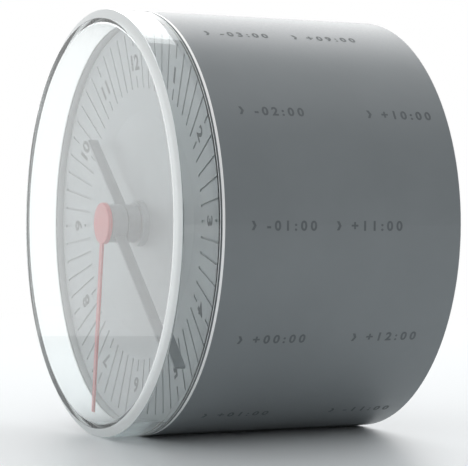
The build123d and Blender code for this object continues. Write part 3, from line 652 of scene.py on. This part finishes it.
def rounded(
    corners: list[tuple[float, float, float]], steps: int = 6, lead: float = 0.04
) -> np.ndarray:
    """Round the corners of an open line.

    Each corner gives way to a quadratic curve between the two points that lie its rounding
    length before and after it. A further point stands a short lead outside each end of the
    curve, so that the straight runs between the corners shade as flat.

    Args:
        corners: radius, depth and rounding length of each corner, mm.
        steps: points on each rounding.
        lead: length of the straight piece before and after each rounding, mm.

    Returns:
        The line's points, one row each.
    """
    points = np.array(corners, float)
    places, lengths = points[:, :2], points[:, 2]
    line = [places[:1]]
    share = np.linspace(0, 1, steps)[:, None]
    for here in range(1, len(places) - 1):
        back = places[here - 1] - places[here]
        ahead = places[here + 1] - places[here]
        back, ahead = back / np.hypot(*back), ahead / np.hypot(*ahead)
        start = places[here] + back * lengths[here]
        end = places[here] + ahead * lengths[here]
        curve = start * (1 - share) ** 2 + places[here] * 2 * share * (1 - share) + end * share**2
        line += [start[None] + back * lead, curve, end[None] + ahead * lead]
    line.append(places[-1:])
    return np.concatenate(line)


def linked(name: str, data: bpy.types.ID) -> bpy.types.Object:
    """Make an object and link it to the scene.

    Args:
        name: the object's name.
        data: its mesh, type, lamp or camera.

    Returns:
        The object, at the origin.
    """
    made = bpy.data.objects.new(name, data)
    bpy.context.scene.collection.objects.link(made)
    return made


def ring_quads(grid: np.ndarray) -> np.ndarray:
    """Join each row of a grid of points to the next, where every row closes on itself.

    Args:
        grid: numbers of the points, one circle a row.

    Returns:
        Four numbers a face: a point, its neighbour, and the same two in the next row.
    """
    low, high = grid[:-1], grid[1:]
    return np.stack([low, np.roll(low, -1, 1), np.roll(high, -1, 1), high], -1).reshape(-1, 4)


def solid(name: str, points: np.ndarray, quads: np.ndarray, tips: np.ndarray) -> bpy.types.Object:
    """Make an object from a closed surface and turn its faces outwards.

    The volume is a sixth of the sum, over the triangles, of the triple product of their corners.
    A negative volume means that the faces point inwards, and their order is then reversed.

    Args:
        name: the piece's name.
        points: vertices in metres.
        quads: four vertex numbers a row.
        tips: three vertex numbers a row, for the triangles at the poles.

    Returns:
        The linked object, at the origin.
    """
    triangles = np.concatenate([quads[:, [0, 1, 2]], quads[:, [0, 2, 3]], tips.reshape(-1, 3)])
    first, second, third = (points[triangles[:, corner]] for corner in range(3))
    volume = np.einsum("ij,ij->i", first, np.cross(second, third)).sum() / 6
    order = 1 if volume > 0 else -1
    mesh = bpy.data.meshes.new(name)
    faces = quads[:, ::order].tolist() + tips.reshape(-1, 3)[:, ::order].tolist()
    mesh.from_pydata(points.tolist(), [], faces)
    mesh.validate()
    mesh.shade_smooth()
    mesh.set_sharp_from_angle(angle=math.radians(SHARP_ANGLE))
    return linked(name, mesh)


def turned(name: str, profile: np.ndarray, facets: int) -> bpy.types.Object:
    """Turn a line that starts and ends on the drum's axis into a closed solid.

    Every point between the line's ends becomes a circle of its radius at its depth. The two ends
    are poles, each joined to the circle next to it by triangles.

    Args:
        name: the piece's name.
        profile: radius and depth of each point, mm.
        facets: points on each circle.

    Returns:
        The finished object.
    """
    circles = profile[1:-1]
    turn = np.linspace(0, 2 * np.pi, facets, endpoint=False)
    points = drum_points(circles[:, :1], turn[None, :], circles[:, 1:])
    grid = np.arange(len(points)).reshape(len(circles), facets)
    start, end = len(points), len(points) + 1
    points = np.concatenate([points, drum_points(np.zeros(2), np.zeros(2), profile[[0, -1], 1])])
    first, last = grid[0], grid[-1]
    near = np.stack([np.full(facets, start), np.roll(first, -1), first], axis=-1)
    far = np.stack([np.full(facets, end), last, np.roll(last, -1)], axis=-1)
    return solid(name, points, ring_quads(grid), np.concatenate([near, far]))


def letter_mesh(
    text: str, height: float, narrowing: float, thickness: float, tracking: float, weight: float
) -> bpy.types.Mesh:
    """Make flat figures of a given height, in millimetres, with their left foot at the origin.

    Args:
        text: the figures.
        height: height of a figure, mm.
        narrowing: width as a share of the plain type's width.
        thickness: thickness of the ink, mm.
        tracking: step from figure to figure, as a share of the plain type's.
        weight: what each side of a stroke gains, as a share of the type's size.

    Returns:
        A closed mesh that isn't yet on any object.
    """
    curve = bpy.data.curves.new("type", "FONT")
    curve.body = text
    curve.extrude = TYPE_DEPTH
    curve.offset = weight
    curve.resolution_u = TYPE_STEPS
    curve.space_character = tracking
    scratch = linked("type", curve)
    bpy.context.view_layer.update()
    mesh = bpy.data.meshes.new_from_object(scratch)
    bpy.data.objects.remove(scratch)
    bpy.data.curves.remove(curve)
    points = np.empty(len(mesh.vertices) * 3)
    mesh.vertices.foreach_get("co", points)
    points = points.reshape(-1, 3)
    low, high = points.min(0), points.max(0)
    scale = height / (high[1] - low[1])
    points = (points - low) * np.array([scale * narrowing, scale, thickness / (high[2] - low[2])])
    mesh.vertices.foreach_set("co", points.ravel())
    return mesh


def chevron_mesh(height: float, width: float, stroke: float, thickness: float) -> bpy.types.Mesh:
    """Make a small arrowhead that points along the first axis, as a plate six points round.

    Args:
        height: its height, mm.
        width: its reach from back to tip, mm.
        stroke: thickness of its two strokes along the first axis, mm.
        thickness: thickness of the ink, mm.

    Returns:
        A closed mesh that isn't yet on any object.
    """
    line = np.array(
        [
            [0, 0],
            [stroke, 0],
            [width, height / 2],
            [stroke, height],
            [0, height],
            [width - stroke, height / 2],
        ]
    )
    count = len(line)
    low = np.column_stack([line, np.zeros(count)])
    high = np.column_stack([line, np.full(count, thickness)])
    ring = np.arange(count)
    ahead = np.roll(ring, -1)
    walls = np.stack([ring, ahead, ahead + count, ring + count], axis=-1).tolist()
    mesh = bpy.data.meshes.new("chevron")
    tops = [[6, 7, 8, 11], [8, 9, 10, 11]]
    floors = [[5, 2, 1, 0], [5, 4, 3, 2]]
    mesh.from_pydata(np.concatenate([low, high]).tolist(), [], tops + floors + walls)
    return mesh


@dataclass
class InkSheet:
    """Printed figures that are gathered on one piece, each already bent to its ground."""

    name: str
    body: str
    slot: str
    gathered: bmesh.types.BMesh = field(default_factory=bmesh.new)

    def print_on(self, mesh: bpy.types.Mesh, place: Ground) -> None:
        """Bend one flat mesh to its ground and add it.

        Args:
            mesh: a flat figure in mm, used up by the call.
            place: where it goes and on what.
        """
        points = np.empty(len(mesh.vertices) * 3)
        mesh.vertices.foreach_get("co", points)
        mesh.vertices.foreach_set("co", place.bend(points.reshape(-1, 3)).ravel())
        self.gathered.from_mesh(mesh)
        bpy.data.meshes.remove(mesh)

    def finish(self, material: bpy.types.Material) -> bpy.types.Object:
        """Close the gathered figures into one piece that rides on its body.

        Args:
            material: the ink.

        Returns:
            The finished object.
        """
        bmesh.ops.remove_doubles(self.gathered, verts=self.gathered.verts, dist=WELD_REACH)
        bmesh.ops.recalc_face_normals(self.gathered, faces=self.gathered.faces)
        mesh = bpy.data.meshes.new(self.name)
        self.gathered.to_mesh(mesh)
        self.gathered.free()
        return carried(linked(self.name, mesh), self.body, material)


class Ground:
    """A surface that takes print: it bends flat figures, in mm, to where they belong, in metres."""

    def bend(self, flat: np.ndarray) -> np.ndarray:
        """Bend flat points; each kind of ground does it in its own way."""
        raise NotImplementedError


@dataclass
class TubeGround(Ground):
    """The outside of the drum. Figures run from front to back with their feet down.

    The first axis of the flat figure adds to the depth, the second is laid round the drum as an
    arc, and the third lifts off the wall.
    """

    rise: float
    start: float
    half_height: float

    def bend(self, flat: np.ndarray) -> np.ndarray:
        """Wrap the figure round the drum.

        Args:
            flat: points in mm, with the left foot at the origin.

        Returns:
            Points in metres.
        """
        arc = (flat[:, 1] - self.half_height) / CASE_RADIUS
        turn = np.radians(90 - self.rise) - arc
        return drum_points(CASE_RADIUS + flat[:, 2], turn, self.start + flat[:, 0])


@dataclass
class ConeGround(Ground):
    """The dial's slope. Figures stand with their heads outwards, centred on a clock angle.

    The first axis runs clockwise round the dial, the second runs up the slope away from the
    centre, and the third lifts off the slope towards the front.
    """

    hour_angle: float
    middle_radius: float
    rim_radius: float
    rim_depth: float
    slope: float

    def bend(self, flat: np.ndarray) -> np.ndarray:
        """Lay the figure on the slope.

        Args:
            flat: points in mm.

        Returns:
            Points in metres.
        """
        centre = (flat.min(0) + flat.max(0)) / 2
        lean = math.atan(self.slope)
        outward = self.middle_radius + (flat[:, 1] - centre[1]) * math.cos(lean)
        surface = self.rim_depth + (self.rim_radius - outward) * self.slope
        turn = np.radians(self.hour_angle) + (flat[:, 0] - centre[0]) / outward
        return drum_points(outward, turn, surface - flat[:, 2])


# Pieces and their bodies


def carried(
    made: bpy.types.Object,
    body: str,
    material: bpy.types.Material,
    stands_for: tuple[str, ...] = (),
) -> bpy.types.Object:
    """Give a new piece its material and its body, and hide the CAD nodes that it stands for.

    Args:
        made: the new piece.
        body: the CAD body that it moves with.
        material: its finish.
        stands_for: CAD nodes that it replaces.

    Returns:
        The same piece.
    """
    made.data.materials.clear()
    made.data.materials.append(material)
    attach(made, body)
    if stands_for:
        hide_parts(*stands_for)
    LOG.info("piece %s on %s, %d faces", made.name, body, len(made.data.polygons))
    return made


class Finishes:
    """Every finish of the clock, made once and handed out by need."""

    def __init__(self) -> None:
        """Start with no material made."""
        self.made: dict[str, bpy.types.Material] = {}

    def of(self, finish: Finish | ClearAcrylic) -> bpy.types.Material:
        """Give the material of a finish, and make it at the first call.

        Args:
            finish: what a piece is made of.

        Returns:
            The material, the same one at every call.
        """
        if finish.name not in self.made:
            self.made[finish.name] = finish.build()
        return self.made[finish.name]

    def dress(self, finish: Finish, *nodes: str) -> None:
        """Put one finish on every material slot of some CAD nodes.

        Args:
            finish: what they are made of.
            nodes: the nodes' names.
        """
        for node in nodes:
            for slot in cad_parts[node].material_slots:
                slot.material = self.of(finish)
            LOG.info("node %s in %s", node, finish.name)


# Sub-assemblies


@dataclass
class ClearCap:
    """The clear cap: a pane with a flat bevel round it, a wall and a spigot that enters the drum."""

    outer_radius: float = 50.0
    inner_radius: float = 47.0
    spigot_radius: float = 48.4
    pane_thickness: float = 2.1
    wall_end: float = 10.0
    spigot_end: float = 14.0
    bevel_width: float = 2.1
    bevel_depth: float = 1.2
    edge_round: float = 0.12
    corner_round: float = 0.3
    facets: int = 320

    def build(self, finishes: Finishes) -> bpy.types.Object:
        """Turn the cap from one line that starts and ends on the axis.

        Args:
            finishes: where the acrylic comes from.

        Returns:
            The cap.
        """
        edge = self.edge_round
        outer, inner = self.outer_radius, self.inner_radius
        line = rounded(
            [
                (0, 0, 0),
                (outer - self.bevel_width, 0, edge),
                (outer, self.bevel_depth, edge),
                (outer, self.wall_end, edge / 2),
                (self.spigot_radius, self.wall_end, edge / 2),
                (self.spigot_radius, self.spigot_end, edge / 2),
                (inner, self.spigot_end, edge / 2),
                (inner, self.pane_thickness, self.corner_round),
                (0, self.pane_thickness, 0),
            ]
        )
        made = turned("clear_cap_shell", line, self.facets)
        carried(made, "drum", finishes.of(POLISHED_ACRYLIC), ("front_cap",))
        self.grind(made, finishes)
        return made

    def grind(self, made: bpy.types.Object, finishes: Finishes) -> None:
        """Give the bevel and the faces that seat in the drum their ground finish.

        A face belongs to the bevel where its middle lies outside the bevel's inner edge and in
        front of its outer edge. It belongs to the seat where its middle lies outside the bore
        and behind the wall's end, less the rounding there.

        Args:
            made: the cap.
            finishes: where the acrylic comes from.
        """
        mesh = made.data
        middles = np.empty(len(mesh.polygons) * 3)
        mesh.polygons.foreach_get("center", middles)
        across, along, height = middles.reshape(-1, 3).T / MM
        reach = np.hypot(across, height - AXIS_HEIGHT)
        depth = along - FRONT_Y
        bevel = (reach > self.outer_radius - self.bevel_width) & (depth < self.bevel_depth)
        seat = (reach > self.inner_radius + self.edge_round) & (
            depth > self.wall_end - self.edge_round
        )
        mesh.materials.append(finishes.of(GROUND_ACRYLIC))
        mesh.polygons.foreach_set("material_index", (bevel | seat).astype(np.int32))


@dataclass
class Dial:
    """The dished dial: its figures from 1 to 12 stand between the dashes of the hour marks."""

    rim_radius: float = DIAL_RIM_RADIUS
    rim_depth: float = DIAL_RIM_DEPTH
    slope: float = DIAL_SLOPE
    figure_height: float = 3.75
    figure_narrowing: float = 1.12
    figure_weight: float = 0.035
    figure_tracking: float = 1.0
    figure_radius: float = 38.2
    first_turn: float = -1.0
    ink: float = 0.02

    def build(self, finishes: Finishes) -> bpy.types.Object:
        """Dress the dial and print its twelve figures.

        Args:
            finishes: where the finishes come from.

        Returns:
            The printed figures.
        """
        finishes.dress(DIAL_ALUMINIUM, "dial")
        finishes.dress(HUB_ACETAL, "dial_bush")
        finishes.dress(TURNED_BRASS, "dial_bush_nut")
        sheet = InkSheet("dial_figures", "drum", "dial_silver")
        for hour in range(1, HOURS + 1):
            figure = letter_mesh(
                str(hour),
                self.figure_height,
                self.figure_narrowing,
                self.ink,
                self.figure_tracking,
                self.figure_weight,
            )
            sheet.print_on(
                figure,
                ConeGround(
                    hour * HOUR_DEGREES + self.first_turn,
                    self.figure_radius,
                    self.rim_radius,
                    self.rim_depth,
                    self.slope,
                ),
            )
        return sheet.finish(finishes.of(NUMERAL_INK))


@dataclass
class Housing:
    """The drum's tube with its twelve printed rows, each of two time differences.

    Every row holds a time difference and the one half a world away, both led by a chevron.
    """

    first_rise: float = -0.3
    figure_height: float = 2.25
    narrowing: float = 1.05
    tracking: float = 1.55
    weight: float = 0.03
    ink: float = 0.02
    first_label: float = 21.0
    chevron_lead: float = 3.7
    chevron_height: float = 2.0
    chevron_width: float = 1.15
    chevron_stroke: float = 0.62
    second_labels: tuple[float, ...] = (
        41.7, 52.8, 43.2, 45.0, 48.0, 50.0, 46.0, 44.0, 51.0, 47.0, 53.6, 49.3
    )

    def build(self, finishes: Finishes) -> bpy.types.Object:
        """Dress the tube and print its rows.

        Args:
            finishes: where the finishes come from.

        Returns:
            The printed rows.
        """
        finishes.dress(HOUSING_LACQUER, "housing_tube")
        finishes.dress(CHROMED_BRASS_WITH_PAINTED_SHADE, "trim_ring")
        sheet = InkSheet("drum_print", "drum", "housing")
        for row, second_start in enumerate(self.second_labels):
            rise = self.first_rise + row * HOUR_DEGREES
            west = -1 - row if row < HOURS / 2 else HOURS - 1 - row
            east = west + HOURS if west <= 0 else west - HOURS
            for start, hours in ((self.first_label, west), (second_start, east)):
                self.label(sheet, rise, start, hours)
        return sheet.finish(finishes.of(PRINT_INK))

    def label(self, sheet: InkSheet, rise: float, start: float, hours: int) -> None:
        """Print one time difference with its chevron.

        Args:
            sheet: the ink it joins.
            rise: the row's angle above the drum's side, degrees.
            start: depth of the first figure's left edge, mm.
            hours: the difference in whole hours.
        """
        figures = letter_mesh(
            f"{hours:+03d}:00",
            self.figure_height,
            self.narrowing,
            self.ink,
            self.tracking,
            self.weight,
        )
        sheet.print_on(figures, TubeGround(rise, start, self.figure_height / 2))
        chevron = chevron_mesh(
            self.chevron_height, self.chevron_width, self.chevron_stroke, self.ink
        )
        sheet.print_on(
            chevron, TubeGround(rise, start - self.chevron_lead, self.chevron_height / 2)
        )


@dataclass
class Hands:
    """The three hands, whose blades stand on edge behind the pane."""

    def build(self, finishes: Finishes) -> None:
        """Dress the hands."""
        finishes.dress(HAND_LACQUER, "hour_hand", "minute_hand")
        finishes.dress(SIGNAL_LACQUER, "second_hand")


@dataclass
class RearEnd:
    """The rear: cover, screws, bridge, brake and the knob that sets the hands."""

    def build(self, finishes: Finishes) -> None:
        """Dress the rear end.

        Args:
            finishes: where the finishes come from.
        """
        finishes.dress(REAR_ABS, "rear_cover")
        finishes.dress(SCREW_STEEL, "cover_screws", "setting_arbor")
        finishes.dress(ROLLED_ALUMINIUM, "rear_bridge")
        finishes.dress(TURNED_BRASS, "rear_bush")
        finishes.dress(WOOL_FELT, "brake_washer")
        finishes.dress(KNOB_ACETAL, "setting_knob")


@dataclass
class Movement:
    """The hanging movement: carrier, weight, works, coil, board and battery."""

    def build(self, finishes: Finishes) -> None:
        """Dress the movement, from its carrier to the small parts of the works.

        Args:
            finishes: where the finishes come from.
        """
        finishes.dress(TURNED_BRASS, "front_journal", "carrier_pillars")
        finishes.dress(ROLLED_ALUMINIUM, "carrier_front_plate", "carrier_rear_plate")
        finishes.dress(SCREW_STEEL, "carrier_screws", "movement_screws")
        finishes.dress(CAST_ZINC, "counterweight")
        finishes.dress(MOVEMENT_NYLON, "movement_front", "movement_rear", "battery_tray")
        finishes.dress(WHEEL_ACETAL, "train_plate", "coil_bobbin", "second_wheel", "minute_wheel")
        finishes.dress(WHEEL_ACETAL, "hour_wheel", "third_wheel", "motion_wheel", "step_wheel")
        finishes.dress(CORE_STEEL, "stator", "coil_core")
        finishes.dress(COPPER_ENAMEL, "coil_winding")
        finishes.dress(BOARD_MASK, "circuit_board")
        finishes.dress(BATTERY_SLEEVE, "battery")
        finishes.dress(SPRING_NICKEL, "battery_contacts")
        finishes.dress(ROTOR_FERRITE, "rotor")


# Studio


@dataclass(frozen=True)
class SoftBox:
    """A rectangular lamp, unseen by the camera. Places and size are in mm, the power is in W."""

    name: str
    place: tuple[float, float, float]
    aim: tuple[float, float, float]
    size: tuple[float, float]
    power: float


@dataclass
class Studio:
    """A pale table that fades to white, two soft boxes, and the camera.

    The camera's angles are in degrees. The table's sizes and the camera's clipping range are in
    metres, and every other length is in mm.
    """

    camera_place: tuple[float, float, float] = (410.6, -191.84, 50.79)
    camera_azimuth: float = 64.766
    camera_pitch: float = -0.381
    camera_roll: float = 0.231
    lens: float = 143.88
    sensor: float = 36.0
    nearest: float = 0.01
    farthest: float = 40.0
    table_rings: tuple[float, ...] = (0.16, 0.4, 0.6, 2.0, 9.0)
    table_facets: int = 96
    table_roughness: float = 0.3
    table_colour: str = "#E4E8EA"
    near_table: float = 0.16
    far_table: float = 0.6
    fade_middle: tuple[float, float, float] = (0.06, 0.03, 0.0)
    daylight: float = 0.75
    dim_side: tuple[float, float, float] = (0.905, 0.426, 0.0)
    dim_from: float = 0.45
    dim_full: float = 0.75
    dimming: float = 0.85
    soft_boxes: tuple[SoftBox, ...] = (
        SoftBox("rear_softbox", (-540, 551, 686), (0, 0, 50), (1400, 708), 6.0),
        SoftBox("front_card", (-280, -142, 130), (0, -35, 130), (360, 250), 0.085),
    )

    def build(self) -> None:
        """Set up world, table, lamps, camera and plain colour handling."""
        bpy.context.scene.view_settings.view_transform = "Standard"
        self.build_world()
        self.build_table()
        self.build_lamps()
        self.build_camera()

    def build_world(self) -> None:
        """Make a world that is white to the eye, softer as light and dark on one side.

        The dark side is a room without lamps to the right of the table. Only mirror images
        show it: how dark it is follows the cosine between the ray and the middle of that side.
        """
        world = bpy.data.worlds.new("studio")
        world.use_nodes = True
        bpy.context.scene.world = world
        tree = world.node_tree
        tree.nodes.clear()
        lit = add_node(tree, "MapRange", Value=self.seen_ray(tree), in_3=self.daylight)
        way = add_node(
            tree,
            "VectorMath",
            operation="DOT_PRODUCT",
            in_0=add_node(tree, "TexCoord").outputs["Generated"],
            in_1=self.dim_side,
        )
        side = add_node(
            tree,
            "MapRange",
            Value=way.outputs["Value"],
            in_1=self.dim_from,
            in_2=self.dim_full,
            in_4=self.dimming,
        )
        path = add_node(tree, "LightPath")
        mirrored = add_node(
            tree,
            "Math",
            operation="MULTIPLY",
            in_0=path.outputs["Is Glossy Ray"],
            in_1=path.outputs["Is Reflection Ray"],
        )
        kept = add_node(
            tree,
            "Math",
            operation="MULTIPLY_ADD",
            in_0=add_node(
                tree, "Math", operation="MULTIPLY", in_0=side.outputs[0], in_1=mirrored.outputs[0]
            ).outputs[0],
            in_1=-1.0,
            in_2=1.0,
        )
        strength = add_node(
            tree, "Math", operation="MULTIPLY", in_0=lit.outputs[0], in_1=kept.outputs[0]
        )
        light = add_node(tree, "Background", Color=(1, 1, 1, 1), Strength=strength.outputs[0])
        add_node(tree, "OutputWorld", Surface=light.outputs[0])

    def seen_ray(self, tree: bpy.types.NodeTree) -> bpy.types.NodeSocket:
        """Tell the rays that the eye follows from those that only carry light.

        Args:
            tree: the material's or the world's node tree.

        Returns:
            The socket that is 1 for rays of the camera, of reflections and through glass.
        """
        path = add_node(tree, "LightPath")
        two = add_node(
            tree,
            "Math",
            operation="MAXIMUM",
            in_0=path.outputs["Is Camera Ray"],
            in_1=path.outputs["Is Glossy Ray"],
        )
        three = add_node(
            tree,
            "Math",
            operation="MAXIMUM",
            in_0=two.outputs[0],
            in_1=path.outputs["Is Transmission Ray"],
        )
        return three.outputs[0]

    def build_table(self) -> None:
        """Make the round table top, pale near the clock and white from a step away."""
        rings = np.array(self.table_rings)[:, None]
        turn = np.linspace(0, 2 * np.pi, self.table_facets, endpoint=False)
        across, along = (rings * np.cos(turn)).ravel(), (rings * np.sin(turn)).ravel()
        points = np.column_stack([across, along, np.zeros(len(across))])
        grid = np.arange(len(points)).reshape(len(rings), self.table_facets)
        mesh = bpy.data.meshes.new("table_top")
        faces = [grid[0].tolist()] + ring_quads(grid)[:, ::-1].tolist()
        mesh.from_pydata(points.tolist(), [], faces)
        mesh.validate()
        table = linked("table_top", mesh)
        mesh.materials.append(self.table_material())

    def table_material(self) -> bpy.types.Material:
        """Make satin white laminate that gives way to plain white away from the clock.

        Returns:
            The table's material.
        """
        material, tree, place = blank_material("satin_white_laminate")
        aside = add_node(
            tree, "VectorMath", operation="DISTANCE", in_0=place, in_1=self.fade_middle
        )
        away = add_node(
            tree,
            "MapRange",
            interpolation_type="SMOOTHSTEP",
            Value=aside.outputs["Value"],
            in_1=self.near_table,
            in_2=self.far_table,
        )
        shader = add_node(
            tree,
            "BsdfPrincipled",
            Base_Color=linear(self.table_colour),
            Roughness=self.table_roughness,
        )
        white = add_node(tree, "Emission", Color=(1, 1, 1, 1), Strength=1.0)
        share = add_node(
            tree, "Math", operation="MULTIPLY", in_0=away.outputs[0], in_1=self.seen_ray(tree)
        )
        mixed = add_node(
            tree, "MixShader", in_0=share.outputs[0], in_1=shader.outputs[0], in_2=white.outputs[0]
        )
        add_node(tree, "OutputMaterial", Surface=mixed.outputs[0])
        return material

    def build_lamps(self) -> None:
        """Hang a broad soft box high behind the clock, and stand a faint one by its left front.

        The rear one grazes the drum's top. The front one stands on the table where the pane
        mirrors it to the camera, which lays a pale veil over the dial.
        """
        for box in self.soft_boxes:
            data = bpy.data.lights.new(box.name, "AREA")
            data.shape = "RECTANGLE"
            data.size, data.size_y = box.size[0] * MM, box.size[1] * MM
            data.energy = box.power
            made = linked(box.name, data)
            made.visible_camera = False
            here, there = Vector(box.place) * MM, Vector(box.aim) * MM
            turn = (there - here).to_track_quat("-Z", "Y").to_matrix().to_4x4()
            made.matrix_world = Matrix.Translation(here) @ turn

    def build_camera(self) -> None:
        """Stand the camera where the photograph was taken from, level but for a hair."""
        data = bpy.data.cameras.new("camera")
        data.sensor_width = self.sensor
        data.lens = self.lens
        data.clip_start, data.clip_end = self.nearest, self.farthest
        made = linked("camera", data)
        azimuth, pitch = math.radians(self.camera_azimuth), math.radians(self.camera_pitch)
        ahead = Vector(
            (
                -math.sin(azimuth) * math.cos(pitch),
                math.cos(azimuth) * math.cos(pitch),
                math.sin(pitch),
            )
        )
        right = Vector((math.cos(azimuth), math.sin(azimuth), 0))
        up = right.cross(ahead)
        turn = Matrix((right, up, -ahead)).transposed().to_4x4()
        roll = Matrix.Rotation(math.radians(self.camera_roll), 4, "Z")
        made.matrix_world = Matrix.Translation(Vector(self.camera_place) * MM) @ turn @ roll
        bpy.context.scene.camera = made


def main() -> None:
    """Set up the studio, then build every sub-assembly in order."""
    logging.basicConfig(level=logging.INFO, format="%(name)s: %(message)s")
    finishes = Finishes()
    Studio().build()
    for assembly in (Housing(), ClearCap(), Dial(), Hands(), RearEnd(), Movement()):
        assembly.build(finishes)
        LOG.info("%s done", type(assembly).__name__)


if __name__ == "__main__":
    main()
